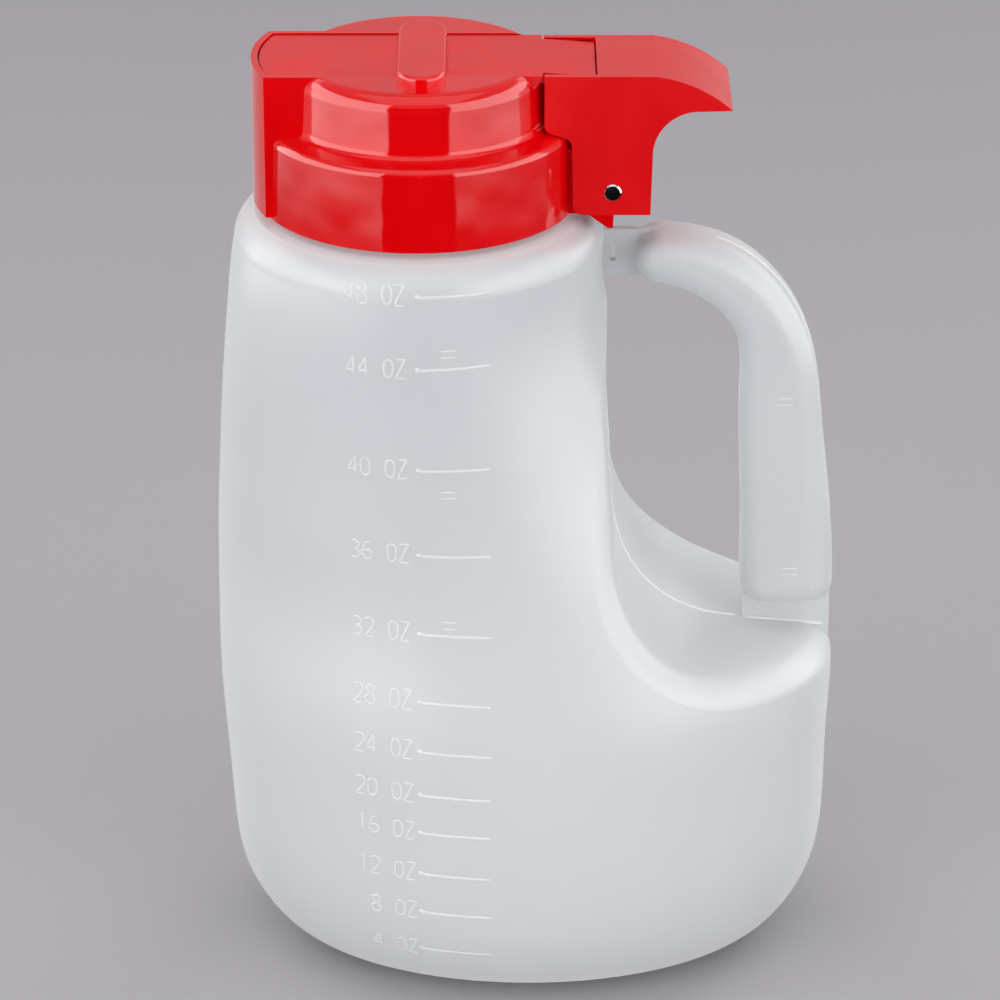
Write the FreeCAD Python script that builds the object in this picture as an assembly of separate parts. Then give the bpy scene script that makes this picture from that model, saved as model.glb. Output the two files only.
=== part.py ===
"""Thumb-lever pouring dispenser: a blow-moulded jar with a hollow handle, and a screw top with a slide gate.

Millimetres, +Z up. The origin is the centre of the jar's foot. +X points from the spout to the handle.
The object is the same on both sides of the XZ plane, apart from its threads, its strap and its spring.
"""
import math
import os

import FreeCAD
import Part

Vec = FreeCAD.Vector
Z_AXIS = Vec(0, 0, 1)
Y_AXIS = Vec(0, 1, 0)

# Jar: overall sizes.
JAR_HALF_X = 70.8
JAR_WALL = 1.2
CORNER_IN = 24.0  # how far the foot's edge lies inside the side wall
CORNER_UP = 34.0  # height at which the side wall starts
PUSH_UP = 2.5  # depth of the raised panel under the foot
SHOULDER_Z = 175.0  # top of the side wall
SHOULDER_R = 41.5
SHOULDER_ROUND = 7.5
SHOULDER_SWEEP = 68  # degrees that the shoulder turns through before it meets the neck's foot
SCOOP_ROUND = 7.5  # rounding of the rim between the side wall and the finger scoop

# Neck and its thread. The cap turns about this axis.
NECK_X = -23.9
NECK_R = 31.0
NECK_BORE_R = 29.4
NECK_FOOT_Z = 182.9
LIP_Z = 199.35
THREAD_PITCH = 6.0
THREAD_TURNS = 1.33
THREAD_START_Z = 187.6
JAR_CREST_R = 32.6
CAP_CREST_R = 31.7
THREAD_GAP = 1.7  # height of the jar's thread above the cap's
THREAD_ROOT_HALF = 1.3  # half of the ridge's height at its root
THREAD_CREST_HALF = 0.5
THREAD_SUNK = 0.35  # how far the ridge's root lies inside the wall

# Handle.
HANDLE_HALF_Y = 9.0
HANDLE_ROUND = 5.5
HANDLE_START_X = 24.6  # where the hollow begins, beside the column
HANDLE_END_Z = 85.4  # where it ends, above the saddle
HANDLE_WALL = 1.3
WEB_HALF_Y = 1.1  # the pinched-off webs at both ends of the hollow

# Foot.
FOOT_RIM = 6.5  # from the corner's inner edge to the raised panel
PANEL_SLOPE = 4.0  # how much smaller the panel is at its top

# Cap.
SKIRT_Z = 184.0
SKIRT_R = 35.4
SKIRT_BORE_R = 33.5
STEP_Z = 202.6  # outer edge of the step between skirt and dome
STEP_RISE = 0.9
STEP_ROUND = 1.6
SKIRT_CEILING_Z = 200.8
DOME_R = 28.9
DOME_BORE_R = 26.9
DOME_ROUND = 3.6
DOME_CEILING_Z = 215.3
CAP_TOP_Z = 217.3
SPOUT_R = 36.9  # from the neck axis to the outside of the spout housing
SPOUT_HALF_Y = 15.4
SPOUT_WALL = 1.5
SPOUT_FLOOR_Z = 203.4
MOUTH_X = -45.2  # where the pouring mouth's rounded end turns into its straight sides
MOUTH_R = 10.3
MOUTH_STRAIGHT = 2.0
CHANNEL_FLOOR_Z = 214.3
CHANNEL_HALF_Y = 14.0
CHANNEL_FLOOR = 1.5  # thickness of the floor that the gate slides on
STRAP_X = -22.9
STRAP_W = 10.7
STRAP_TOP_Z = 220.1
STRAP_FRONT_Y = -23.6
STRAP_REAR_Y = 15.4
STRAP_ROUND = 0.9

# Slide gate.
GATE_TOP_Z = 217.0
GATE_BOTTOM_Z = 214.45
GATE_HALF_Y = 13.7
GATE_END_R = 35.05  # from the neck axis to the gate's rounded end
GATE_SHOULDER_X = 3.6  # where the blade ends and the narrower tail starts
SHOULDER_RAKE = 1.3  # how much further back the blade's end is at the bottom, to clear the turning cheeks
TAIL_HALF_Y = 11.2
TAIL_TOP_Z = 216.2
TAIL_END_X = 15.2
TRUNNION_R = 0.95
TRUNNION_Z = 215.1
TRUNNION_HALF_Y = 13.0

# Lever, and the pin that it turns on.
PIN_X = 19.1
PIN_Z = 189.8
PIN_R = 2.0
PIN_HALF_Y = 14.2
PIN_CHAMFER = 0.3
LEVER_HALF_Y = 13.9
CHEEK_WALL = 1.6
LEVER_BORE_R = 2.06
LEVER_TOP_Z = 216.9
LEVER_FOOT_Z = 184.6
LEVER_FOOT_ROUND = 2.3
LEVER_CROWN_WALL = 1.9
LEVER_THROW = 26.0  # degrees from shut to fully open
SLOT_CLEARANCE = 0.3  # each side of a trunnion

# Ears of the cap that carry the pin.
EAR_OUT_Y = 11.8
EAR_IN_Y = 9.8
EAR_BOSS_R = 4.4

# Return spring, wound round the pin.
SPRING_WIRE_R = 0.45
SPRING_COIL_R = 3.1
SPRING_PITCH = 1.15
SPRING_TURNS = 6
SPRING_CAP_LEG = 7.2  # length of each straight leg, from above the pin
SPRING_LEVER_LEG = 6.3
SEAT_GAP = 0.08  # between a leg and the ledge above it
SEAT_RISE = 1.6  # thickness of the ledges that the legs push up against
SEAT_HALF_Y = 5.0


def save(shape, node):
    """Write one sub-part to its STEP file."""
    shape.exportStep(f"parts/{node}.step")
    print(f"{node}: {len(shape.Solids)} solid, {shape.Volume / 1000:.2f} cm3, valid {shape.isValid()}")


def box(x0, x1, y0, y1, z0, z1):
    return Part.makeBox(x1 - x0, y1 - y0, z1 - z0, Vec(x0, y0, z0))


def both_sides(shape):
    """The shape and its mirror image across the XZ plane, as one."""
    return shape.fuse(shape.mirror(Vec(0, 0, 0), Y_AXIS))


def neck_cylinder(radius, z0, z1):
    return Part.makeCylinder(radius, z1 - z0, Vec(NECK_X, 0, z0))


def neck_revolve(profile):
    """A solid of revolution about the neck axis. profile is a closed list of (radius, z)."""
    points = [Vec(NECK_X + r, 0, z) for r, z in profile]
    face = Part.Face(Part.makePolygon(points + points[:1]))
    return face.revolve(Vec(NECK_X, 0, 0), Z_AXIS, 360)


def side_prism(points, y0, y1):
    """A straight-edged outline of (x, z) points, extruded from y0 to y1."""
    corners = [Vec(x, y0, z) for x, z in points]
    return Part.Face(Part.makePolygon(corners + corners[:1])).extrude(Vec(0, y1 - y0, 0))


def side_spline(points):
    """A smooth curve in the XZ plane through (x, z) points."""
    curve = Part.BSplineCurve()
    curve.interpolate([Vec(x, 0, z) for x, z in points])
    return curve


def offset_curve(curve, distance, steps=24):
    """The curve moved sideways, towards the left of its direction of travel when seen along +Y."""
    moved = []
    first, last = curve.FirstParameter, curve.LastParameter
    for step in range(steps + 1):
        at = first + (last - first) * step / steps
        along = curve.tangent(at)[0]
        moved.append(curve.value(at) + Vec(along.z, 0, -along.x) * distance)
    result = Part.BSplineCurve()
    result.interpolate(moved)
    return result


def ellipse_wire(left, right, half_y, z):
    """A horizontal ellipse between two x values."""
    centre = Vec((left + right) / 2, 0, z)
    half_x = (right - left) / 2
    if half_x >= half_y:
        return Part.Wire([Part.Ellipse(centre, half_x, half_y).toShape()])
    edge = Part.Ellipse(centre, half_y, half_x).toShape()
    edge.rotate(centre, Z_AXIS, 90)
    return Part.Wire([edge])


# ---------------------------------------------------------------------------------------------- jar

# Side wall, from the corner's top to the shoulder: height, left x, right x, half depth.
# Above the finger scoop the right side is the shape that the scoop is cut from.
SIDE_STATIONS = [
    (57, -70.0, 70.8, 51.8),
    (78, -70.8, 70.6, 49.4),
    (92, -70.7, 64.0, 46.0),
    (106, -70.5, 51.0, 43.6),
    (120, -69.9, 38.0, 42.6),
    (135, -69.1, 28.5, 42.1),
    (150, -68.0, 21.2, 41.9),
    (163, -66.9, 17.7, 41.8),
    (SHOULDER_Z, NECK_X - SHOULDER_R, NECK_X + SHOULDER_R, SHOULDER_R),
]
CORNER_TOP = (-68.4, 70.2, 51.6)

# The finger scoop's outline, from above the handle's root down the column and out over the saddle.
SCOOP_POINTS = [
    (26.0, 196),
    (19.4, 168),
    (18.1, 150),
    (18.5, 134),
    (19.4, 119),
    (20.2, 107),
    (25.7, 92.0),
    (34.8, 83.7),
    (42.0, 80.8),
    (50.0, 79.7),
    (61.6, 78.8),
    (73.0, 77.8),
    (86.0, 76.6),
]

# The handle's outlines: outside from the neck down, and inside from the saddle up.
HANDLE_OUTER = [
    (HANDLE_START_X, 176.0),
    (33.0, 176.0),
    (47.0, 172.3),
    (58.1, 162.6),
    (64.8, 148.7),
    (67.6, 129.1),
    (69.9, 109),
    (JAR_HALF_X, HANDLE_END_Z),
]
HANDLE_INNER = [
    (49.9, HANDLE_END_Z),
    (49.5, 109),
    (48.8, 137),
    (46.4, 154.6),
    (37.6, 162.1),
    (HANDLE_START_X, 165.6),
]


def jar_loft(wall):
    """The side wall and the foot's rounded corner as one smooth solid, moved in by the wall's thickness."""
    wires = []
    left, right, half_y = CORNER_TOP
    steps = 5
    for step in range(steps + 1):
        angle = math.radians(90 * step / steps)
        inset = CORNER_IN * (1 - math.sin(angle)) + wall
        lift = wall * math.cos(angle)
        z = CORNER_UP * (1 - math.cos(angle)) + lift
        wires.append(ellipse_wire(left + inset, right - inset, half_y - inset, z))
    for z, left, right, half_y in SIDE_STATIONS:
        wires.append(ellipse_wire(left + wall, right - wall, half_y - wall, z))
    return Part.makeLoft(wires, True, False)


def scoop_solid(wall):
    """The block that the finger scoop removes."""
    curve = side_spline(SCOOP_POINTS)
    if wall:
        curve = offset_curve(curve, wall)
    start, end = curve.StartPoint, curve.EndPoint
    corner = Vec(end.x, 0, start.z)
    outline = Part.Wire([curve.toShape(), Part.makeLine(end, corner), Part.makeLine(corner, start)])
    half = JAR_HALF_X
    face = Part.Face(outline)
    face.translate(Vec(0, -half, 0))
    return face.extrude(Vec(0, 2 * half, 0))


def jar_body(wall):
    """The loft with its scoop cut and the scoop's rim rounded."""
    body = jar_loft(wall).cut(scoop_solid(wall))
    rim = [e for e in body.Edges if e.BoundBox.ZMin > CORNER_UP and e.BoundBox.ZMax < SHOULDER_Z - 1]
    return body.makeFillet(SCOOP_ROUND - wall, rim)


def shoulder(wall):
    """The rounded shoulder and the outside of the neck, or the space inside them."""
    round_r = SHOULDER_ROUND - wall
    arc = []
    for share in (0, 0.5, 1):
        angle = math.radians(SHOULDER_SWEEP * share)
        r = SHOULDER_R - wall - round_r * (1 - math.cos(angle))
        arc.append(Vec(NECK_X + r, 0, SHOULDER_Z + round_r * math.sin(angle)))
    if wall:
        tail = [(NECK_BORE_R, NECK_FOOT_Z - wall), (0, NECK_FOOT_Z - wall)]
    else:
        tail = [(NECK_R + 1.8, NECK_FOOT_Z), (NECK_R + 0.5, NECK_FOOT_Z + 0.5), (NECK_R, NECK_FOOT_Z + 1.8)]
        tail += [(NECK_R, LIP_Z - 0.5), (NECK_R - 0.5, LIP_Z), (0, LIP_Z)]
    corners = [arc[-1]] + [Vec(NECK_X + r, 0, z) for r, z in tail] + [Vec(NECK_X, 0, SHOULDER_Z), arc[0]]
    lines = [Part.makeLine(a, b) for a, b in zip(corners, corners[1:])]
    outline = Part.Wire([Part.Arc(*arc).toShape()] + lines)
    return Part.Face(outline).revolve(Vec(NECK_X, 0, 0), Z_AXIS, 360)


def thread(root_r, crest_r, z0, turns):
    """A helical ridge on the neck axis, from a root radius to a crest radius."""
    outward = 1 if crest_r > root_r else -1
    sunk = root_r - THREAD_SUNK * outward
    profile = [
        (sunk, -THREAD_ROOT_HALF),
        (crest_r, -THREAD_CREST_HALF),
        (crest_r, THREAD_CREST_HALF),
        (sunk, THREAD_ROOT_HALF),
    ]
    helix = Part.makeHelix(THREAD_PITCH, THREAD_PITCH * turns, root_r)
    corners = [Vec(r, 0, z) for r, z in profile]
    section = Part.makePolygon(corners + corners[:1])
    ridge = Part.Wire(helix).makePipeShell([section], True, True)
    ridge.translate(Vec(NECK_X, 0, z0))
    return ridge


def handle_outline(inset):
    """The handle's side outline as a face in the XZ plane."""
    outer = side_spline(HANDLE_OUTER)
    inner = side_spline(HANDLE_INNER)
    if inset:
        outer = offset_curve(outer, inset)
        inner = offset_curve(inner, inset)
    top = Part.makeLine(inner.EndPoint, outer.StartPoint)
    bottom = Part.makeLine(outer.EndPoint, inner.StartPoint)
    face = Part.Face(Part.Wire([outer.toShape(), bottom, inner.toShape(), top]))
    if inset:
        keep = box(HANDLE_START_X + inset, JAR_HALF_X, -1, 1, HANDLE_END_Z + inset, LIP_Z)
        face = face.common(keep)
    return face


def handle_solid(inset):
    """The handle's tube, or the sealed space inside it."""
    face = handle_outline(inset)
    half = HANDLE_HALF_Y - inset
    face.translate(Vec(0, -half, 0))
    bar = face.extrude(Vec(0, 2 * half, 0))
    return bar.makeFillet(HANDLE_ROUND - inset, bar.Edges)


def handle_webs():
    """The flat pinched-off plates that join the hollow's ends to the body, the upper one with its slot."""
    top = box(12, 31, -WEB_HALF_Y, WEB_HALF_Y, 165.3, 176.2)
    slot = box(18.9, 20.2, -WEB_HALF_Y, WEB_HALF_Y, 168.6, 172.6)
    low = box(50.4, JAR_HALF_X - 0.2, -WEB_HALF_Y, WEB_HALF_Y, 73, 91)
    return top.cut(slot), low


def base_panel(raise_by, grow):
    """The raised panel under the foot."""
    low_x = JAR_HALF_X - CORNER_IN - FOOT_RIM + grow
    low_y = CORNER_TOP[2] - CORNER_IN - FOOT_RIM + grow
    high_x = low_x - PANEL_SLOPE
    low = ellipse_wire(-low_x, low_x, low_y, raise_by - 1)
    high = ellipse_wire(-high_x, high_x, low_y - PANEL_SLOPE, raise_by + PUSH_UP)
    return Part.makeLoft([low, high], True, True)


def make_jar():
    top_web, low_web = handle_webs()
    solid = jar_body(0).fuse([shoulder(0), top_web, low_web, handle_solid(0)])
    solid = solid.fuse(thread(NECK_R, JAR_CREST_R, THREAD_START_Z, THREAD_TURNS))
    space = jar_body(JAR_WALL).fuse(shoulder(JAR_WALL))
    space = space.fuse(neck_cylinder(NECK_BORE_R, NECK_FOOT_Z - 4, LIP_Z + 1))
    space = space.cut(base_panel(JAR_WALL, 1.0))
    solid = solid.cut(space)
    solid = solid.cut(handle_solid(HANDLE_WALL))
    return solid.cut(base_panel(0, 0)).removeSplitter()


# ---------------------------------------------------------------------------------------------- cap


def cap_dome():
    """Outside of the skirt, the step and the dome."""
    profile = [
        (0, SKIRT_Z),
        (SKIRT_R, SKIRT_Z),
        (SKIRT_R - 0.3, STEP_Z),
        (DOME_R + 0.5, STEP_Z + STEP_RISE),
        (DOME_R, CAP_TOP_Z),
        (0, CAP_TOP_Z),
    ]
    dome = neck_revolve(profile)

    def circle_edges(z, radius):
        near = []
        for edge in dome.Edges:
            bounds = edge.BoundBox
            level = abs(bounds.ZMin - z) < 0.01 and abs(bounds.ZMax - z) < 0.01
            if level and abs(bounds.YMax - radius) < 0.2:
                near.append(edge)
        return near

    dome = dome.makeFillet(DOME_ROUND, circle_edges(CAP_TOP_Z, DOME_R))
    dome = dome.makeFillet(STEP_ROUND, circle_edges(STEP_Z + STEP_RISE, DOME_R + 0.5))
    return dome.makeFillet(STEP_ROUND, circle_edges(STEP_Z, SKIRT_R - 0.3))


def spout_housing():
    """The tower at the spout end, concentric with the skirt."""
    tower = neck_cylinder(SPOUT_R, SKIRT_Z + 0.6, CAP_TOP_Z)
    keep = box(NECK_X - SPOUT_R - 1, NECK_X - 5, -SPOUT_HALF_Y, SPOUT_HALF_Y, SKIRT_Z, CAP_TOP_Z + 1)
    return tower.common(keep)


def bracket_ear():
    """One ear on the handle side, with the toe under the pin."""
    plate = side_prism(
        [
            (NECK_X + SKIRT_R - 4.5, SKIRT_Z + 0.2),
            (13.4, SKIRT_Z + 0.2),
            (18.2, 180.7),
            (19.3, 180.7),
            (19.5, PIN_Z - EAR_BOSS_R + 0.2),
            (PIN_X + 2.9, PIN_Z + 3.3),
            (14.0, 199.4),
            (NECK_X + SKIRT_R - 4.5, 199.4),
        ],
        EAR_IN_Y,
        EAR_OUT_Y,
    )
    boss = Part.makeCylinder(EAR_BOSS_R, EAR_OUT_Y - EAR_IN_Y, Vec(PIN_X, EAR_IN_Y, PIN_Z), Y_AXIS)
    return plate.fuse(boss)


def strap():
    """The raised bridge that holds the gate down, with rounded ends."""
    radius = STRAP_W / 2
    low = CHANNEL_FLOOR_Z + 0.5
    height = STRAP_TOP_Z - low
    ends = (STRAP_FRONT_Y + radius, STRAP_REAR_Y - radius)
    bar = box(STRAP_X - radius, STRAP_X + radius, *ends, low, STRAP_TOP_Z)
    for y in ends:
        bar = bar.fuse(Part.makeCylinder(radius, height, Vec(STRAP_X, y, low)))
    bar = bar.removeSplitter()
    top_edges = [e for e in bar.Edges if e.BoundBox.ZMin > STRAP_TOP_Z - 0.01]
    return bar.makeFillet(STRAP_ROUND, top_edges)


def gate_outline(half_y, end_r, right):
    """The flat shape with a rounded end about the neck axis, as a tall solid."""
    low, high = CHANNEL_FLOOR_Z - 5, STRAP_TOP_Z
    disc = neck_cylinder(end_r, low, high)
    left_part = disc.common(box(NECK_X - end_r - 1, NECK_X, -half_y, half_y, low, high))
    return left_part.fuse(box(NECK_X, right, -half_y, half_y, low, high))


def make_pour_cap():
    envelope = cap_dome().fuse(spout_housing())
    cap = envelope.fuse(both_sides(bracket_ear()))
    space = neck_cylinder(SKIRT_BORE_R, SKIRT_Z - 5, SKIRT_CEILING_Z)
    space = space.fuse(neck_cylinder(DOME_BORE_R, SKIRT_CEILING_Z, DOME_CEILING_Z))
    roof_z = CHANNEL_FLOOR_Z - CHANNEL_FLOOR
    spout = neck_cylinder(SPOUT_R - SPOUT_WALL, SPOUT_FLOOR_Z, roof_z)
    inner_half = SPOUT_HALF_Y - SPOUT_WALL
    spout = spout.common(box(NECK_X - SPOUT_R, NECK_X, -inner_half, inner_half, SPOUT_FLOOR_Z, CAP_TOP_Z))
    cap = cap.cut(space.fuse(spout))
    trough = box(NECK_X - SPOUT_R, 10, -SPOUT_HALF_Y, SPOUT_HALF_Y, roof_z, CAP_TOP_Z)
    cap = cap.fuse(trough.common(envelope))
    channel = gate_outline(CHANNEL_HALF_Y, SPOUT_R - SPOUT_WALL, 12)
    cap = cap.cut(channel.cut(box(-90, 30, -30, 30, 200, CHANNEL_FLOOR_Z)))
    bridge = strap().cut(box(-40, 0, -CHANNEL_HALF_Y, CHANNEL_HALF_Y, 200, GATE_TOP_Z + 0.25))
    low, high = roof_z - 1, CHANNEL_FLOOR_Z + 1
    mouth = Part.makeCylinder(MOUTH_R, high - low, Vec(MOUTH_X, 0, low))
    mouth = mouth.common(box(MOUTH_X - MOUTH_R, MOUTH_X, -MOUTH_R, MOUTH_R, low, high))
    mouth = mouth.fuse(box(MOUTH_X, MOUTH_X + MOUTH_STRAIGHT, -MOUTH_R, MOUTH_R, low, high))
    cap = cap.fuse(bridge).cut(mouth)
    cap = cap.cut(Part.makeCylinder(PIN_R, 2 * PIN_HALF_Y, Vec(PIN_X, -PIN_HALF_Y, PIN_Z), Y_AXIS))
    ridge = thread(SKIRT_BORE_R, CAP_CREST_R, THREAD_START_Z - THREAD_GAP, THREAD_TURNS)
    skirt_face = NECK_X + SKIRT_R
    return cap.fuse([ridge, spring_seat(skirt_face - 1.2, skirt_face + 3)]).removeSplitter()


def make_neck_gasket():
    ring = neck_cylinder(NECK_R + 0.6, LIP_Z + 0.05, SKIRT_CEILING_Z - 0.05)
    return ring.cut(neck_cylinder(NECK_BORE_R - 0.9, LIP_Z - 1, SKIRT_CEILING_Z + 1))


# ------------------------------------------------------------------------------------- gate and lever


def trunnion_x():
    """Where the gate's trunnions are when it is shut: half of the lever's throw before the pin."""
    return PIN_X - (TRUNNION_Z - PIN_Z) * math.tan(math.radians(LEVER_THROW / 2))


def make_slide_gate():
    blade = gate_outline(GATE_HALF_Y, GATE_END_R, GATE_SHOULDER_X)
    blade = blade.cut(box(-90, 30, -30, 30, 200, GATE_BOTTOM_Z))
    blade = blade.cut(box(-90, 30, -30, 30, GATE_TOP_Z, 230)).removeSplitter()
    rake = side_prism(
        [
            (GATE_SHOULDER_X, GATE_TOP_Z),
            (GATE_SHOULDER_X + 1, GATE_TOP_Z),
            (GATE_SHOULDER_X + 1, GATE_BOTTOM_Z),
            (GATE_SHOULDER_X - SHOULDER_RAKE, GATE_BOTTOM_Z),
        ],
        -CHANNEL_HALF_Y,
        CHANNEL_HALF_Y,
    )
    blade = blade.cut(rake)
    tail = side_prism(
        [
            (GATE_SHOULDER_X - 3, GATE_BOTTOM_Z),
            (TAIL_END_X, GATE_BOTTOM_Z),
            (TAIL_END_X, TAIL_TOP_Z),
            (GATE_SHOULDER_X - 1, GATE_TOP_Z),
            (GATE_SHOULDER_X - 3, GATE_TOP_Z),
        ],
        -TAIL_HALF_Y,
        TAIL_HALF_Y,
    )
    start = Vec(trunnion_x(), -TRUNNION_HALF_Y, TRUNNION_Z)
    trunnion = Part.makeCylinder(TRUNNION_R, 2 * TRUNNION_HALF_Y, start, Y_AXIS)
    return blade.fuse([tail, trunnion]).removeSplitter()


def lever_outline(inset):
    """The lever's side outline as a face in the XZ plane. inset moves the thumb edge and the top in."""
    top = LEVER_TOP_Z - inset
    flat_end = Vec(28.5 - inset, 0, top)
    tip = Vec(45.3 - 2.2 * inset, 0, 209.0 - inset * 0.2)
    crown = Part.Arc(flat_end, Vec(37.6 - inset * 0.75, 0, 214.2 - inset * 0.9), tip).toShape()
    under = Vec(38.6 - inset * 0.6, 0, 208.8 - inset * 0.9)
    lip = Part.makeLine(tip, under)
    heel = Vec(27.9 - inset, 0, 199.6)
    thumb = Part.Arc(under, Vec(31.0 - inset, 0, 206.0 - inset * 0.7), heel).toShape()
    foot = Vec(27.5 - inset, 0, LEVER_FOOT_Z)
    left_foot = Vec(10.4, 0, LEVER_FOOT_Z)
    left_step = Vec(10.0, 0, 202.3)
    left_top = Vec(4.0, 0, 203.9)
    shoulder_at = Vec(4.0, 0, top)
    runs = [heel, foot, left_foot, left_step, left_top, shoulder_at, flat_end]
    lines = [Part.makeLine(a, b) for a, b in zip(runs, runs[1:])]
    return Part.Face(Part.Wire([crown, lip, thumb] + lines))


def make_thumb_lever():
    face = lever_outline(0)
    face.translate(Vec(0, -LEVER_HALF_Y, 0))
    lever = face.extrude(Vec(0, 2 * LEVER_HALF_Y, 0))
    foot_edges = []
    for edge in lever.Edges:
        bounds = edge.BoundBox
        if bounds.YLength > LEVER_HALF_Y and bounds.XMax < 12 and bounds.ZMax < 205:
            foot_edges.append(edge)
    lever = lever.makeFillet(LEVER_FOOT_ROUND, foot_edges)
    inner = lever_outline(LEVER_CROWN_WALL)
    inner_half = LEVER_HALF_Y - CHEEK_WALL
    inner.translate(Vec(0, -inner_half, 0))
    hollow = inner.extrude(Vec(0, 2 * inner_half, 0))
    hollow = hollow.fuse(box(0, 24, -inner_half, inner_half, 180, 213.2))
    hollow = hollow.fuse(box(0, TAIL_END_X + 0.35, -inner_half, inner_half, 200, 220))
    lever = lever.cut(hollow)
    bore_half = LEVER_HALF_Y + 1
    lever = lever.cut(Part.makeCylinder(LEVER_BORE_R, 2 * bore_half, Vec(PIN_X, -bore_half, PIN_Z), Y_AXIS))
    slot_half = TRUNNION_HALF_Y + 0.25
    half_width = TRUNNION_R + SLOT_CLEARANCE
    slot = box(PIN_X - half_width, PIN_X + half_width, -slot_half, slot_half, TRUNNION_Z - 2.4, 225)
    slot.rotate(Vec(PIN_X, 0, PIN_Z), Y_AXIS, -LEVER_THROW / 2)
    slot = slot.cut(box(0, 30, -30, 30, LEVER_TOP_Z - 0.6, 240))
    return lever.cut(slot).fuse(spring_seat(PIN_X + 3.9, PIN_X + 7.2)).removeSplitter()


def make_pivot_pin():
    pin = Part.makeCylinder(PIN_R, 2 * PIN_HALF_Y, Vec(PIN_X, -PIN_HALF_Y, PIN_Z), Y_AXIS)
    rims = [e for e in pin.Edges if e.BoundBox.YLength < 0.01]
    return pin.makeChamfer(PIN_CHAMFER, rims)


def make_torsion_spring():
    """A coil about the pin. Its legs run level from the coil's top, under the cap's ledge and the lever's."""
    length = SPRING_PITCH * SPRING_TURNS
    coil = Part.makeHelix(SPRING_PITCH, length, SPRING_COIL_R)
    circle = Part.Circle(Vec(SPRING_COIL_R, 0, 0), Y_AXIS, SPRING_WIRE_R).toShape()
    wire = Part.Wire(coil).makePipeShell([Part.Wire([circle])], True, True)
    wire.rotate(Vec(0, 0, 0), Z_AXIS, -90)
    starts = [Vec(0, -SPRING_COIL_R, 0), Vec(0, -SPRING_COIL_R, length)]
    cap_leg = Part.makeCylinder(SPRING_WIRE_R, SPRING_CAP_LEG, starts[0], Vec(-1, 0, 0))
    lever_leg = Part.makeCylinder(SPRING_WIRE_R, SPRING_LEVER_LEG, starts[1], Vec(1, 0, 0))
    spring = wire.fuse([cap_leg, lever_leg])
    spring.rotate(Vec(0, 0, 0), Vec(1, 0, 0), -90)
    spring.translate(Vec(PIN_X, -length / 2, PIN_Z))
    return spring.removeSplitter()


def spring_seat(x0, x1):
    """A ledge that a leg of the spring pushes up against."""
    low = PIN_Z + SPRING_COIL_R + SPRING_WIRE_R + SEAT_GAP
    return box(x0, x1, -SEAT_HALF_Y, SEAT_HALF_Y, low, low + SEAT_RISE)


def main():
    os.makedirs("parts", exist_ok=True)
    save(make_jar(), "jar")
    save(make_pour_cap(), "pour_cap")
    save(make_neck_gasket(), "neck_gasket")
    save(make_slide_gate(), "slide_gate")
    save(make_thumb_lever(), "thumb_lever")
    save(make_pivot_pin(), "pivot_pin")
    save(make_torsion_spring(), "torsion_spring")


main()
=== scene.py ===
"""Looks of a pouring dispenser: a milky blow-moulded jar, and a glossy red screw top.

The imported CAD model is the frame. Its nodes stay as they are and get their materials here. The
capacity marks, the mould marks and the return spring are built here. Metres, +Z up, and the
spout is at -X.
"""
import math

import bpy
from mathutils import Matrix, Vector
from mathutils.bvhtree import BVHTree


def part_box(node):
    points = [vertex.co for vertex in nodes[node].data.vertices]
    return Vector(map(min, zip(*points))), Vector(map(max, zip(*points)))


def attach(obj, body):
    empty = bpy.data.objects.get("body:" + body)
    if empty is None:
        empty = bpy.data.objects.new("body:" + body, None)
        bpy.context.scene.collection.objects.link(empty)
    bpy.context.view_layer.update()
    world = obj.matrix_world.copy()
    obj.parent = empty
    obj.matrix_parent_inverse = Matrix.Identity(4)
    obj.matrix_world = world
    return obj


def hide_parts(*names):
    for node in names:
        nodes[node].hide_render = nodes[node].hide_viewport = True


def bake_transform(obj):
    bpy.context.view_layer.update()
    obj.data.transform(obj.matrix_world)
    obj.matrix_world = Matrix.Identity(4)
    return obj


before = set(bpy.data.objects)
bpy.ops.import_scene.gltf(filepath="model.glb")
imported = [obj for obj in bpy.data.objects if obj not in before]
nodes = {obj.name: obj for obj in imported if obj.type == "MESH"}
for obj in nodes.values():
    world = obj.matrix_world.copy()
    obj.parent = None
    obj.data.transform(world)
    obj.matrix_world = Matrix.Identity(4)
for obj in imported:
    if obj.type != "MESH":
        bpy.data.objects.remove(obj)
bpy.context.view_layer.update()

MM = 0.001

# ------------------------------------------------------------------------------- materials

NOISE_LOW, NOISE_HIGH = 0.3, 0.7  # nearly all of a noise pattern lies between these


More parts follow.
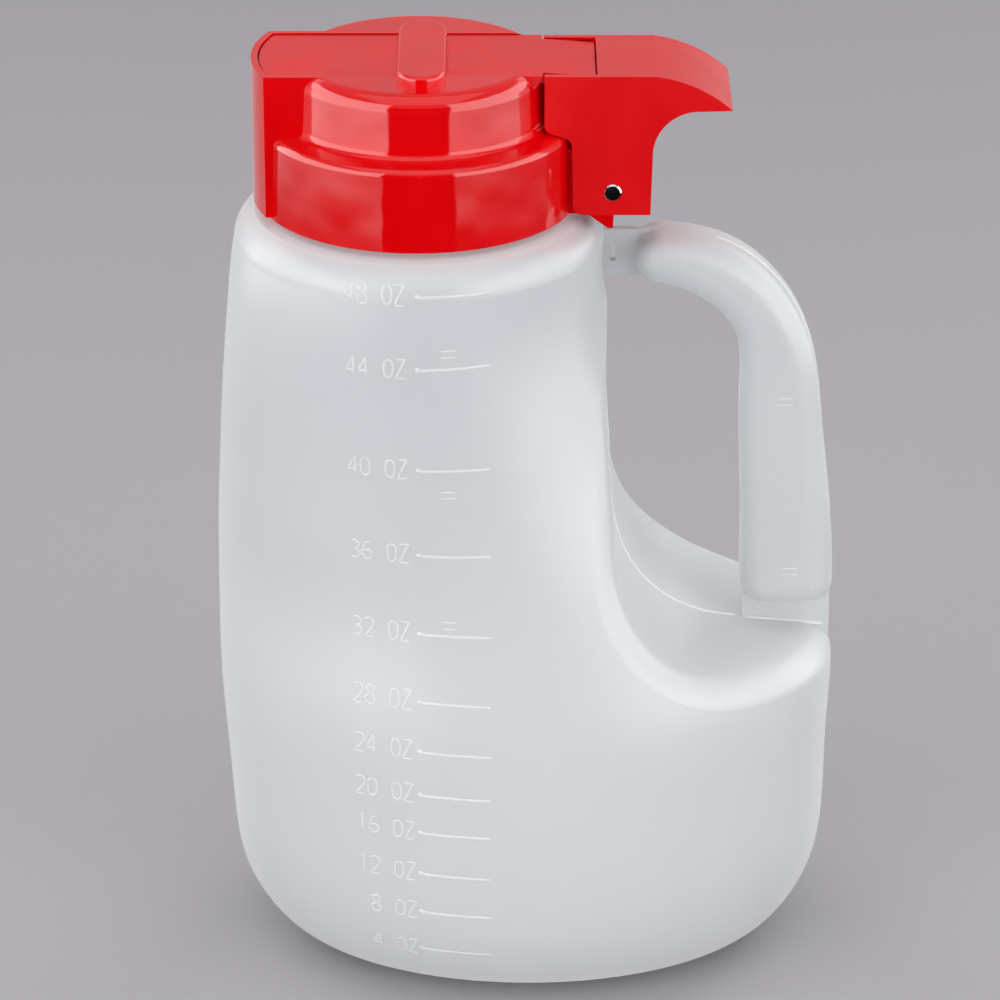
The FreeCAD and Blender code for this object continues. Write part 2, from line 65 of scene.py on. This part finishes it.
class Material:
    """A node material with one Principled shader, and short calls to add to it."""

    def __init__(self, name):
        self.material = bpy.data.materials.new(name)
        self.material.use_nodes = True
        self.tree = self.material.node_tree
        self.shader = next(n for n in self.tree.nodes if n.type == "BSDF_PRINCIPLED")
        self.coordinates = self.add("ShaderNodeTexCoord").outputs["Object"]

    def add(self, kind, **values):
        node = self.tree.nodes.new(kind)
        for name, value in values.items():
            setattr(node, name, value)
        return node

    def link(self, output, socket):
        self.tree.links.new(output, socket)

    def set(self, **values):
        """Constants on the shader's own sockets, with _ for the spaces in their names."""
        for name, value in values.items():
            self.shader.inputs[name.replace("_", " ")].default_value = value

    def noise(self, scale, detail=3.0, stretch=(1, 1, 1), distortion=0.0):
        """A noise pattern. scale is in features per metre."""
        mapping = self.add("ShaderNodeMapping")
        mapping.inputs["Scale"].default_value = stretch
        self.link(self.coordinates, mapping.inputs["Vector"])
        texture = self.add("ShaderNodeTexNoise")
        texture.inputs["Scale"].default_value = scale
        texture.inputs["Detail"].default_value = detail
        texture.inputs["Distortion"].default_value = distortion
        self.link(mapping.outputs["Vector"], texture.inputs["Vector"])
        return texture.outputs["Fac"]

    def ramp(self, factor, low, high, start=0.35, end=0.65):
        """A colour that runs from low to high over part of the factor's range."""
        ramp = self.add("ShaderNodeValToRGB")
        for element, position, colour in zip(ramp.color_ramp.elements, (start, end), (low, high)):
            element.position = position
            element.color = (*colour, 1)
        self.link(factor, ramp.inputs["Fac"])
        return ramp.outputs["Color"]

    def map_range(self, factor, start, end, low, high, **settings):
        """A number that runs from low to high as the factor goes from start to end."""
        spread = self.add("ShaderNodeMapRange", **settings)
        spread.inputs["From Min"].default_value = start
        spread.inputs["From Max"].default_value = end
        spread.inputs["To Min"].default_value = low
        spread.inputs["To Max"].default_value = high
        self.link(factor, spread.inputs["Value"])
        return spread.outputs["Result"]

    def spread(self, noise, low, high):
        """A number that runs from low to high over a noise pattern."""
        return self.map_range(noise, NOISE_LOW, NOISE_HIGH, low, high)

    def axis(self, name):
        """One coordinate, in metres."""
        split = self.add("ShaderNodeSeparateXYZ")
        self.link(self.coordinates, split.inputs["Vector"])
        return split.outputs[name]

    def along_z(self, start, end, low, high):
        """A number that runs smoothly from low to high between two heights."""
        height = self.axis("Z")
        return self.map_range(height, start, end, low, high, interpolation_type="SMOOTHSTEP")

    def math(self, operation, first, second):
        """The result of a Math node. second is an output or a number."""
        node = self.add("ShaderNodeMath", operation=operation)
        self.link(first, node.inputs[0])
        if isinstance(second, float):
            node.inputs[1].default_value = second
        else:
            self.link(second, node.inputs[1])
        return node.outputs["Value"]

    def bumps(self, *layers):
        """Stacked bumps, each (height pattern, depth in metres)."""
        normal = None
        for height, depth in layers:
            bump = self.add("ShaderNodeBump")
            bump.inputs["Strength"].default_value = 1.0
            bump.inputs["Distance"].default_value = depth
            self.link(height, bump.inputs["Height"])
            if normal:
                self.link(normal, bump.inputs["Normal"])
            normal = bump.outputs["Normal"]
        self.link(normal, self.shader.inputs["Normal"])


# Heights between which the jar's colour is painted whiter towards the foot: painted light that
# brightens the lower body. Half of its tone comes from this painted light by height, and the
# other half from its clouds.
PAINTED_LIGHT_TOP, PAINTED_LIGHT_FOOT = 190 * MM, 20 * MM
PAINTED_LIGHT_SHARE = 0.5
# The cap's skirt shades the top of the shoulder between these heights. A weak glow there is
# painted light that lifts this shade, standing in for the light that the translucent wall passes
# on from inside.
SHADE_START, SHADE_END = 181.2 * MM, 183.0 * MM
SHADE_FADE = 1.4 * MM
PAINTED_GLOW_STRENGTH = 0.11
PAINTED_GLOW_COLOUR = (0.94, 0.98, 1.0, 1)


def jar_plastic(name, transmission, low, high):
    """Milky, translucent plastic with soft clouds and faint streaks. Its colour is painted
    lighter lower down as painted light, and a painted glow lifts the shade under the cap's skirt.

    The streaks run down the way that the plastic was drawn. No roughness here or below crosses
    about 0.275, where the denoiser would draw the pattern's outline.
    """
    m = Material(name)
    clouds = m.noise(16, detail=2)
    streaks = m.noise(90, detail=2, stretch=(1, 1, 0.12))
    grain = m.noise(1400, detail=2)
    # Painted light: the colour grows whiter towards the foot to brighten the lower body, and tone
    # mixes this with the clouds.
    painted_light_lift = m.along_z(PAINTED_LIGHT_TOP, PAINTED_LIGHT_FOOT, 0.0, PAINTED_LIGHT_SHARE)
    tone = m.math("ADD", painted_light_lift, m.math("MULTIPLY", clouds, 1 - PAINTED_LIGHT_SHARE))
    m.link(m.ramp(tone, low, high, NOISE_LOW, NOISE_HIGH), m.shader.inputs["Base Color"])
    m.link(m.spread(streaks, 0.30, 0.38), m.shader.inputs["Roughness"])
    m.bumps((streaks, 0.04 * MM), (clouds, 0.4 * MM), (grain, 0.004 * MM))
    m.set(IOR=1.5, Specular_IOR_Level=0.3, Transmission_Weight=transmission)
    m.set(Sheen_Weight=0.6, Sheen_Roughness=0.4, Emission_Color=PAINTED_GLOW_COLOUR)
    # Painted light: a weak glow on the shoulder under the skirt lifts its shade.
    shade = m.along_z(SHADE_START, SHADE_START + SHADE_FADE, 0.0, PAINTED_GLOW_STRENGTH)
    glow = m.math("MULTIPLY", shade, m.along_z(SHADE_END, SHADE_END + SHADE_FADE, 1.0, 0.0))
    m.link(glow, m.shader.inputs["Emission Strength"])
    return m.material


def red_plastic(name, rough_low, rough_high, texture_depth):
    """Moulded plastic with a slight waviness, faint flow marks and a fine surface texture."""
    m = Material(name)
    flow = m.noise(45, detail=3, stretch=(1, 1, 0.5), distortion=0.6)
    waves = m.noise(70, detail=1)
    specks = m.noise(2600, detail=2)
    m.link(m.ramp(flow, RED_DEEP, RED_LIGHT), m.shader.inputs["Base Color"])
    m.link(m.spread(flow, rough_low, rough_high), m.shader.inputs["Roughness"])
    m.bumps((waves, 0.25 * MM), (specks, texture_depth))
    m.set(IOR=1.5)
    return m.material


def rubber(name):
    """Pale soft rubber, a little cloudy, with a fine matt grain."""
    m = Material(name)
    cloud = m.noise(120, detail=3)
    grain = m.noise(3000, detail=2)
    m.link(m.ramp(cloud, (0.60, 0.59, 0.56), (0.70, 0.69, 0.66)), m.shader.inputs["Base Color"])
    m.link(m.spread(cloud, 0.55, 0.75), m.shader.inputs["Roughness"])
    m.bumps((grain, 0.02 * MM))
    return m.material


def steel(name, tone, rough_low, rough_high, stretch):
    """Drawn steel, with fine scratches along the axes whose stretch is small."""
    m = Material(name)
    cloud = m.noise(300, detail=3)
    scratches = m.noise(4000, detail=3, stretch=stretch)
    m.link(m.ramp(cloud, [0.88 * t for t in tone], tone), m.shader.inputs["Base Color"])
    m.link(m.spread(scratches, rough_low, rough_high), m.shader.inputs["Roughness"])
    m.bumps((scratches, 0.004 * MM))
    m.set(Metallic=1.0)
    return m.material


RED_DEEP = (0.72, 0.0006, 0.0025)
RED_LIGHT = (0.80, 0.001, 0.004)

JAR_PLASTIC = jar_plastic("jar_plastic", 0.3, (0.83, 0.866, 0.892), (0.925, 0.95, 0.965))
MARK_PLASTIC = jar_plastic("mark_plastic", 0, (0.76, 0.785, 0.80), (0.80, 0.82, 0.83))
FLASH_PLASTIC = jar_plastic("flash_plastic", 0, (0.86, 0.87, 0.865), (0.90, 0.91, 0.90))
CAP_PLASTIC = red_plastic("cap_plastic", 0.06, 0.12, 0.002 * MM)
GATE_PLASTIC = red_plastic("gate_plastic", 0.29, 0.36, 0.006 * MM)
LEVER_PLASTIC = red_plastic("lever_plastic", 0.18, 0.26, 0.004 * MM)
RUBBER = rubber("gasket_rubber")
PIN_STEEL = steel("pin_steel", (0.62, 0.61, 0.60), 0.08, 0.18, (1, 0.05, 1))
SPRING_STEEL = steel("spring_steel", (0.62, 0.62, 0.63), 0.30, 0.42, (0.2, 1, 0.2))

NODE_MATERIALS = {
    "jar": JAR_PLASTIC,
    "pour_cap": CAP_PLASTIC,
    "slide_gate": GATE_PLASTIC,
    "thumb_lever": LEVER_PLASTIC,
    "neck_gasket": RUBBER,
    "pivot_pin": PIN_STEEL,
    "torsion_spring": SPRING_STEEL,
}
for node, material in NODE_MATERIALS.items():
    slots = nodes[node].data.materials
    slots.clear()
    slots.append(material)

# ---------------------------------------------------------------------------- mesh helpers


def new_piece(name, vertices, faces, material, body):
    """A smooth-shaded mesh piece that rides on a CAD body."""
    mesh = bpy.data.meshes.new(name)
    mesh.from_pydata(vertices, [], faces)
    mesh.validate()
    mesh.shade_smooth()
    mesh.materials.append(material)
    piece = bpy.data.objects.new(name, mesh)
    bpy.context.scene.collection.objects.link(piece)
    if body:
        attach(piece, body)
    return piece


def add_rings(vertices, faces, rings):
    """Join rings of points, all of one length, into a closed tube with flat ends."""
    first = len(vertices)
    size = len(rings[0])
    for ring in rings:
        vertices.extend(ring)
    for step in range(len(rings) - 1):
        for side in range(size):
            a = first + step * size + side
            b = first + step * size + (side + 1) % size
            faces.append((a, b, b + size, a + size))
    faces.append(tuple(range(first + size - 1, first - 1, -1)))
    last = first + (len(rings) - 1) * size
    faces.append(tuple(range(last, last + size)))


jar_mesh = nodes["jar"].data
JAR_SURFACE = BVHTree.FromPolygons(
    [v.co for v in jar_mesh.vertices], [p.vertices[:] for p in jar_mesh.polygons]
)
CLEAR_OF_JAR = 1.0  # a distance from which a ray surely starts outside the jar


def front_point(x, z):
    """The jar's surface behind (x, z) as seen from the front, and its outward normal."""
    start = Vector((x, -CLEAR_OF_JAR, z))
    place, normal, _, _ = JAR_SURFACE.ray_cast(start, Vector((0, 1, 0)))
    if normal.y > 0:
        normal = -normal
    return place, normal


def spaced(points, step):
    """The same path with points at most a step apart."""
    path = [Vector(points[0])]
    for start, end in zip(points, points[1:]):
        start, end = Vector(start), Vector(end)
        count = max(1, math.ceil((end - start).length / step))
        for i in range(1, count + 1):
            path.append(start.lerp(end, i / count))
    return path


RIDGE_SUNK = 0.25 * MM  # how deep a ridge's hidden underside lies in the wall
RIDGE_ROOT = 0.6  # its underside's width, as a share of its own
RIDGE_END = 0.45  # the size of its ends, as a share of the rest
RIDGE_TURN = 30  # degrees between the points across its rounded top


def add_ridge(vertices, faces, points, half_width, height):
    """A rounded raised line on the jar. points are (place, outward normal) along it."""
    rings = []
    last = len(points) - 1
    for i, (place, normal) in enumerate(points):
        along = (points[min(i + 1, last)][0] - points[max(i - 1, 0)][0]).normalized()
        side = normal.cross(along).normalized()
        size = RIDGE_END if i in (0, last) else 1.0
        ring = []
        for angle in range(0, 181, RIDGE_TURN):
            turn = math.radians(angle)
            across = side * (half_width * size * math.cos(turn))
            ring.append(place + across + normal * (height * size * math.sin(turn)))
        root = side * (half_width * size * RIDGE_ROOT)
        sunk = normal * RIDGE_SUNK
        ring += [place - root - sunk, place + root - sunk]
        rings.append(ring)
    add_rings(vertices, faces, rings)


# -------------------------------------------------------------------------- capacity marks

# Height of each mark, in mm, for every 4 fl oz from 4 to 48.
MARK_HEIGHTS = [16.2, 27.4, 37.7, 48.3, 57.9, 68.5, 80.1, 95.7, 114.5, 135.0, 159.0, 176.0]
OUNCES_PER_MARK = 4
TICK_LEFT, TICK_RIGHT = -23.8 * MM, -7.6 * MM
TICK_STEP, TICK_HALF, TICK_RISE = 1.0 * MM, 0.38 * MM, 0.15 * MM
# The short thick start of each tick, from and to these places past the tick's left end.
BLOB_FROM, BLOB_TO = (-0.5 * MM, 0.3 * MM), (0.7 * MM, 0.0)
BLOB_STEP, BLOB_HALF, BLOB_RISE = 0.4 * MM, 0.6 * MM, 0.24 * MM
TEXT_HEIGHT = 4.5 * MM
TEXT_WIDTH = 2.1 * MM
TEXT_STEP, TEXT_HALF, TEXT_RISE = 0.6 * MM, 0.26 * MM, 0.11 * MM
TEXT_UP = 0.4 * MM  # middle of the text above its tick
LETTER_PITCH = 2.7 * MM
UNIT_X = -31.4 * MM  # left edge of the unit's O on the top row
UNIT_SHIFT = 2.0 * MM  # how much further right it is on the bottom row
NUMBER_GAP = 3.4 * MM  # between the number's right edge and the unit

# Strokes in a box 1 wide and 1 high.
ROUND = [(0.5, 1), (0.1, 0.85), (0, 0.5), (0.1, 0.15), (0.5, 0), (0.9, 0.15), (1, 0.5),
         (0.9, 0.85), (0.5, 1)]
GLYPHS = {
    "0": [ROUND],
    "O": [ROUND],
    "1": [[(0.2, 0.8), (0.55, 1), (0.55, 0)]],
    "2": [[(0, 0.8), (0.2, 0.97), (0.7, 1), (1, 0.78), (0.85, 0.5), (0, 0), (1, 0)]],
    "3": [[(0, 0.9), (0.5, 1), (0.95, 0.8), (0.85, 0.58), (0.4, 0.52)],
          [(0.4, 0.52), (0.9, 0.42), (1, 0.2), (0.6, 0), (0, 0.08)]],
    "4": [[(0.75, 0), (0.75, 1), (0, 0.3), (1, 0.3)]],
    "6": [[(0.9, 0.95), (0.4, 0.95), (0.05, 0.6), (0, 0.25), (0.4, 0), (0.9, 0.1), (1, 0.35),
           (0.7, 0.55), (0.1, 0.45)]],
    "8": [[(0.5, 0.53), (0.1, 0.68), (0.1, 0.9), (0.5, 1), (0.9, 0.9), (0.9, 0.68), (0.5, 0.53)],
          [(0.5, 0.53), (0, 0.35), (0.05, 0.08), (0.5, 0), (0.95, 0.08), (1, 0.35),
           (0.5, 0.53)]],
    "Z": [[(0, 1), (1, 1), (0, 0), (1, 0)]],
}


def add_front_line(vertices, faces, points, step, half_width, height):
    """A raised line on the front of the jar, through (x, z) points."""
    line = [front_point(x, z) for x, z in spaced(points, step)]
    add_ridge(vertices, faces, line, half_width, height)


def write(vertices, faces, text, left, middle):
    """Raised characters. left is the x of the first one, middle the height of the row."""
    z0 = middle - TEXT_HEIGHT / 2
    for place, character in enumerate(text):
        x0 = left + place * LETTER_PITCH
        for stroke in GLYPHS[character]:
            path = [(x0 + u * TEXT_WIDTH, z0 + v * TEXT_HEIGHT) for u, v in stroke]
            add_front_line(vertices, faces, path, TEXT_STEP, TEXT_HALF, TEXT_RISE)


def capacity_marks():
    """A tick and its number of ounces at each height."""
    ticks, tick_faces = [], []
    text, text_faces = [], []
    top_row = len(MARK_HEIGHTS) - 1
    for row, height in enumerate(MARK_HEIGHTS):
        z = height * MM
        line = [(TICK_LEFT, z), (TICK_RIGHT, z)]
        add_front_line(ticks, tick_faces, line, TICK_STEP, TICK_HALF, TICK_RISE)
        blob = [(TICK_LEFT + x, z + up) for x, up in (BLOB_FROM, BLOB_TO)]
        add_front_line(ticks, tick_faces, blob, BLOB_STEP, BLOB_HALF, BLOB_RISE)
        number = str(OUNCES_PER_MARK * (row + 1))
        unit_x = UNIT_X + UNIT_SHIFT * (1 - row / top_row)
        number_left = unit_x - NUMBER_GAP - TEXT_WIDTH - (len(number) - 1) * LETTER_PITCH
        write(text, text_faces, number, number_left, z + TEXT_UP)
        write(text, text_faces, "OZ", unit_x, z + TEXT_UP)
    new_piece("capacity_ticks", ticks, tick_faces, MARK_PLASTIC, "jar")
    new_piece("capacity_numbers", text, text_faces, MARK_PLASTIC, "jar")


capacity_marks()

# ----------------------------------------------------------------------------- mould marks

# Middles of the paired marks that the mould's air vents leave, as (x, z) in mm.
VENTS = [(-17.1, 162.6), (-17.1, 129.3), (-17.1, 98.2), (58.6, 137.4), (60.6, 95.0)]
VENT_LENGTH_HALF = 1.7 * MM
VENT_APART = 1.5 * MM
VENT_STEP, VENT_HALF, VENT_RISE = 0.8 * MM, 0.22 * MM, 0.08 * MM


def vent_marks():
    """Two short level lines at each vent."""
    vertices, faces = [], []
    for x, z in VENTS:
        for side in (-0.5, 0.5):
            height = z * MM + side * VENT_APART
            line = [(x * MM - VENT_LENGTH_HALF, height), (x * MM + VENT_LENGTH_HALF, height)]
            add_front_line(vertices, faces, line, VENT_STEP, VENT_HALF, VENT_RISE)
    new_piece("vent_marks", vertices, faces, MARK_PLASTIC, "jar")


vent_marks()

LINE_HALF = 0.55 * MM
LINE_RISE = 0.15 * MM
LINE_STEP = 1.5 * MM
# Where the mould's halves met along the finger scoop, as (x, z) in mm: down the column and over
# the saddle to the handle's web, then beside the foot of that web, where the line is higher.
COLUMN_LINE = [(18.1, 150), (18.5, 134), (19.4, 119), (20.6, 106), (24.6, 94.5), (29, 87.7),
               (34.8, 83.7), (42, 80.8), (49.4, 79.7)]
WEB_LINE = [(50.4, 79.6), (61.6, 78.8), (69.0, 78.1)]
WEB_SIDE = -1.2 * MM
WEB_RISE = 1.6 * LINE_RISE
# The line round the handle: each part's first and last bearing, in degrees up from +X, and the x
# of the point that they are taken from.
OUTSIDE_ARC = (66, -26, 20 * MM)
INSIDE_ARC = (66, -52, 36 * MM)
ARC_Z = 125 * MM
ARC_STEPS = 60
CLEAR_OF_HANDLE = 0.2  # how far from the outside arc's point a ray starts


def handle_line(start, end, x, reach):
    """Points where rays in the middle plane meet the handle.

    With a reach the rays come back from that far outside, and with none they go outwards.
    """
    middle = Vector((x, 0, ARC_Z))
    line = []
    for step in range(ARC_STEPS + 1):
        turn = math.radians(start + (end - start) * step / ARC_STEPS)
        outward = Vector((math.cos(turn), 0, math.sin(turn)))
        facing = outward if reach else -outward
        place, normal, _, _ = JAR_SURFACE.ray_cast(middle + outward * reach, -facing)
        line.append((place, normal if normal.dot(facing) > 0 else -normal))
    return line


def parting_line():
    """The flash line in the middle plane, along the scoop and round the handle."""
    vertices, faces = [], []
    path = spaced([(x * MM, 0, z * MM) for x, z in COLUMN_LINE], LINE_STEP)
    column = [JAR_SURFACE.find_nearest(p)[:2] for p in path]
    add_ridge(vertices, faces, column, LINE_HALF, LINE_RISE)
    path = spaced([(x * MM, WEB_SIDE, z * MM) for x, z in WEB_LINE], LINE_STEP)
    slope = Vector((0, -1, 1)).normalized()
    add_ridge(vertices, faces, [(p, slope) for p in path], LINE_HALF, WEB_RISE)
    for arc, reach in ((OUTSIDE_ARC, CLEAR_OF_HANDLE), (INSIDE_ARC, 0)):
        add_ridge(vertices, faces, handle_line(*arc, reach), LINE_HALF, LINE_RISE)
    new_piece("parting_line", vertices, faces, FLASH_PLASTIC, "jar")


parting_line()

# --------------------------------------------------------------------------- return spring

COIL_RADIUS = 3.1 * MM
WIRE_RADIUS = 0.45 * MM
WIRE_SIDES = 12
COIL_HALF = 3.45 * MM
TURNS = 6
STEPS_PER_TURN = 36
CAP_LEG = 7.2 * MM
LEVER_LEG = 6.3 * MM
LEG_STEPS = 8


def return_spring():
    """The CAD spring's shape again, as a piece that sits between the cap and the lever."""
    pin_low, pin_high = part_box("pivot_pin")
    centre = (pin_low + pin_high) / 2
    path = []
    for i in range(LEG_STEPS):
        path.append(centre + Vector((-CAP_LEG * (1 - i / LEG_STEPS), -COIL_HALF, COIL_RADIUS)))
    steps = TURNS * STEPS_PER_TURN
    for step in range(steps + 1):
        turn = 2 * math.pi * step / STEPS_PER_TURN
        along = COIL_HALF * (2 * step / steps - 1)
        x, z = COIL_RADIUS * math.sin(turn), COIL_RADIUS * math.cos(turn)
        path.append(centre + Vector((x, along, z)))
    for i in range(1, LEG_STEPS + 1):
        path.append(centre + Vector((LEVER_LEG * i / LEG_STEPS, COIL_HALF, COIL_RADIUS)))
    rings = []
    last = len(path) - 1
    for i, place in enumerate(path):
        along = (path[min(i + 1, last)] - path[max(i - 1, 0)]).normalized()
        side = along.cross(Vector((0, 1, 0))).normalized()
        up = side.cross(along)
        ring = []
        for k in range(WIRE_SIDES):
            turn = 2 * math.pi * k / WIRE_SIDES
            ring.append(place + (side * math.cos(turn) + up * math.sin(turn)) * WIRE_RADIUS)
        rings.append(ring)
    vertices, faces = [], []
    add_rings(vertices, faces, rings)
    spring = new_piece("return_spring", vertices, faces, SPRING_STEEL, None)
    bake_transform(spring)
    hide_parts("torsion_spring")


return_spring()

# -------------------------------------------------------------------------- floor and light

FLOOR_HALF = 6.0
# Painted shade: the floor's colour falls off from near to far, as if it were lit more at the
# front.
FLOOR_PAINTED_LIT_NEAR, FLOOR_PAINTED_SHADE_FAR = (0.465, 0.45, 0.48), (0.375, 0.36, 0.39)
FLOOR_PAINTED_FALLOFF = 0.7  # metres behind the object over which painted shade darkens the paper


def floor_paper_painted_falloff(name):
    """Plain matt pale paper, with painted shade that darkens it a little towards the back, as if
    it were lit more at the front.
    """
    m = Material(name)
    # Painted shade: darker towards the back.
    tone = m.ramp(m.axis("Y"), FLOOR_PAINTED_LIT_NEAR, FLOOR_PAINTED_SHADE_FAR, 0.0, FLOOR_PAINTED_FALLOFF)
    m.link(tone, m.shader.inputs["Base Color"])
    m.set(Roughness=0.9, Specular_IOR_Level=0.1)
    return m.material


def sheet(name, corners, faces, material):
    """A stage piece."""
    mesh = bpy.data.meshes.new(name)
    mesh.from_pydata(corners, [], faces)
    mesh.materials.append(material)
    piece = bpy.data.objects.new(name, mesh)
    bpy.context.scene.collection.objects.link(piece)
    return piece


floor = sheet(
    "floor",
    [(x * FLOOR_HALF, y * FLOOR_HALF, 0) for x, y in ((-1, -1), (1, -1), (1, 1), (-1, 1))],
    [(0, 1, 2, 3)],
    floor_paper_painted_falloff("floor_paper_painted_falloff"),
)
floor.visible_glossy = False  # so that the plastic mirrors the cards about it instead

CARD_DISTANCE = 1.0
CARD_LOW, CARD_HIGH = -1.2, 1.0
FLAG_HIGH = 0.6
CARD_STEP = 9  # degrees of arc for each flat strip of a card
GLOW_LOW_Z, GLOW_HIGH_Z = -0.2, 0.02  # heights that the cap's skirt and its dome mirror


def glowing(name, low, high):
    """A light that grows from low to high between the two heights."""
    material = bpy.data.materials.new(name)
    material.use_nodes = True
    material.cycles.emission_sampling = "NONE"
    tree = material.node_tree
    tree.nodes.clear()
    place = tree.nodes.new("ShaderNodeTexCoord")
    split = tree.nodes.new("ShaderNodeSeparateXYZ")
    tree.links.new(place.outputs["Object"], split.inputs["Vector"])
    glow = tree.nodes.new("ShaderNodeMapRange")
    glow.interpolation_type = "SMOOTHSTEP"
    glow.inputs["From Min"].default_value = GLOW_LOW_Z
    glow.inputs["From Max"].default_value = GLOW_HIGH_Z
    glow.inputs["To Min"].default_value = low
    glow.inputs["To Max"].default_value = high
    tree.links.new(split.outputs["Z"], glow.inputs["Value"])
    emission = tree.nodes.new("ShaderNodeEmission")
    tree.links.new(glow.outputs["Result"], emission.inputs["Strength"])
    output = tree.nodes.new("ShaderNodeOutputMaterial")
    tree.links.new(emission.outputs["Emission"], output.inputs["Surface"])
    return material


def card(name, start, end, high, glow_low, glow_high):
    """A tall curved card about the object that only shows as a reflection in glossy surfaces.

    It goes from one bearing to another, in degrees from the front (-Y), positive towards +X.
    """
    corners, faces = [], []
    count = round((end - start) / CARD_STEP)
    for i in range(count + 1):
        turn = math.radians(start + (end - start) * i / count)
        x, y = CARD_DISTANCE * math.sin(turn), -CARD_DISTANCE * math.cos(turn)
        corners += [(x, y, CARD_LOW), (x, y, high)]
        if i:
            faces.append((2 * i - 2, 2 * i, 2 * i + 1, 2 * i - 1))
    piece = sheet(name, corners, faces, glowing(name, glow_low, glow_high))
    piece.visible_camera = False
    piece.visible_diffuse = False
    piece.visible_transmission = False
    piece.visible_shadow = False


card("card_right", 26, 125, CARD_HIGH, 0.0, 4.3)
card("card_left", -125, -26, CARD_HIGH, 0.1, 4.9)
card("flag_front", -26, 26, FLAG_HIGH, 0.0, 0.0)

LIGHT_TARGET = Vector((0, 0, 0.11))
# Each soft light's name, place, width, height, power in watts, and how much it shows in gloss.
LIGHTS = [
    ("light_top", (0, -0.25, 1.2), 1.2, 1.2, 3.8, 0.3),
    ("light_left", (-2.0, -1.4, 0.39), 1.8, 1.2, 23.0, 0.0),
    ("light_right", (2.0, -1.4, 0.39), 1.8, 1.2, 21.0, 0.0),
    ("light_low", (0, -1.0, 0.12), 1.4, 0.2, 1.1, 0.0),
    ("light_back_left", (-0.8, 0.8, 0.7), 0.8, 0.8, 2.5, 0.0),
    ("light_back_right", (0.8, 0.8, 0.7), 0.8, 0.8, 3.0, 0.0),
]
for name, place, width, height, power, gloss in LIGHTS:
    data = bpy.data.lights.new(name, "AREA")
    data.shape = "RECTANGLE"
    data.size = width
    data.size_y = height
    data.energy = power
    data.specular_factor = gloss
    light = bpy.data.objects.new(name, data)
    light.location = place
    towards = LIGHT_TARGET - Vector(place)
    light.rotation_euler = towards.to_track_quat("-Z", "Y").to_euler()
    light.visible_camera = False
    bpy.context.scene.collection.objects.link(light)

WORLD_STRENGTH = 0.52
world = bpy.data.worlds.new("studio")
bpy.context.scene.world = world
world.use_nodes = True
background = world.node_tree.nodes["Background"]
background.inputs["Color"].default_value = (1, 1, 1, 1)
background.inputs["Strength"].default_value = WORLD_STRENGTH

# ------------------------------------------------------------------------------ the camera

TARGET = Vector((-0.00575, 0, 0.109))
CAMERA_RISE = math.radians(24.6)
CAMERA_DISTANCE = 1.127
SENSOR = 36.0
LENS = 176.4
camera_data = bpy.data.cameras.new("camera")
camera_data.sensor_width = SENSOR
camera_data.lens = LENS
camera = bpy.data.objects.new("camera", camera_data)
offset = Vector((0, -math.cos(CAMERA_RISE), math.sin(CAMERA_RISE))) * CAMERA_DISTANCE
camera.location = TARGET + offset
camera.rotation_euler = (-offset).to_track_quat("-Z", "Y").to_euler()
bpy.context.scene.collection.objects.link(camera)
bpy.context.scene.camera = camera
bpy.context.scene.view_settings.view_transform = "Standard"
